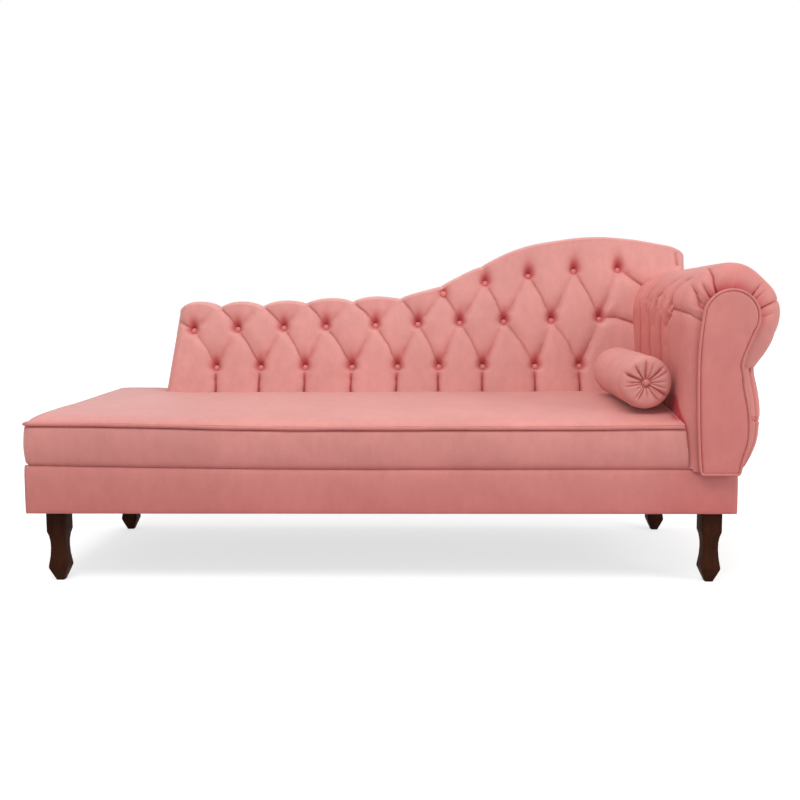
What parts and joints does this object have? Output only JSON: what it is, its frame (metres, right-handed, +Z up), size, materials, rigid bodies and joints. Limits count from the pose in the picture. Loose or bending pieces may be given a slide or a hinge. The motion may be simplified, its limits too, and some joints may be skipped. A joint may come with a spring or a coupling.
{
  "type": "fainting couch",
  "caption": "Fainting couch with a deep-buttoned camel back, one scroll arm, a tight padded seat on a padded base, sawn wooden legs and a loose round bolster.",
  "frame": {"origin": "middle of the couch's footprint, on the floor", "axes": "+Z up, -Y is the way the seat faces, +X along the couch towards the scroll arm"},
  "size_m": [1.9078, 0.7294, 0.924],
  "materials": {
    "upholstery": "short-pile velvety fabric, coral pink, soft sheen",
    "piping": "the same fabric sewn over cord",
    "buttons": "the same fabric over a domed button",
    "leg_wood": "dark brown stain, satin",
    "frame_wood": "plain sawn softwood",
    "plywood": "plain plywood",
    "webbing": "woven elastic straps",
    "dust_cover": "thin black non-woven cloth"
  },
  "bodies": {
    "couch": {"rail_front": "frame_wood", "rail_rear": "frame_wood", "rail_left": "frame_wood", "rail_right": "frame_wood", "stretcher": "frame_wood", "leg_front_left": "leg_wood", "leg_front_right": "leg_wood", "leg_rear_left": "leg_wood", "leg_rear_right": "leg_wood", "leg_board_left": "frame_wood", "leg_board_right": "frame_wood", "dust_cover": "dust_cover", "webbing": "webbing", "base_cover_front": "upholstery", "base_cover_left": "upholstery", "base_cover_right": "upholstery", "seat_cushion": "upholstery", "seat_piping": "piping", "arm_front_board": "plywood", "arm_rear_board": "plywood", "arm_roll_rail": "frame_wood", "arm_pad": "upholstery", "arm_outer_panel": "upholstery", "arm_front_panel": "upholstery", "arm_panel_piping": "piping", "back_pad": "upholstery", "back_board": "plywood", "back_post_left": "frame_wood", "back_post_middle": "frame_wood", "back_post_right": "frame_wood", "rear_cover": "upholstery", "back_button_low_1": "buttons", "back_button_low_2": "buttons", "back_button_low_3": "buttons", "back_button_low_4": "buttons", "back_button_low_5": "buttons", "back_button_low_6": "buttons", "back_button_low_7": "buttons", "back_button_low_8": "buttons", "back_button_low_9": "buttons", "back_button_middle_1": "buttons", "back_button_middle_2": "buttons", "back_button_middle_3": "buttons", "back_button_middle_4": "buttons", "back_button_middle_5": "buttons", "back_button_middle_6": "buttons", "back_button_middle_7": "buttons", "back_button_middle_8": "buttons", "back_button_middle_9": "buttons", "back_button_middle_10": "buttons", "back_button_upper_1": "buttons", "back_button_upper_2": "buttons", "back_button_upper_3": "buttons", "back_button_upper_4": "buttons", "back_button_upper_5": "buttons", "arm_button_1": "buttons", "arm_button_2": "buttons", "arm_button_3": "buttons"},
    "bolster": {"bolster": "upholstery"}
  },
  "joints": [
    {"name": "bolster_lift", "type": "slide", "parent": "couch", "child": "bolster", "axis": [0, 0, 1], "range_m": [0, 0.35]}
  ]
}
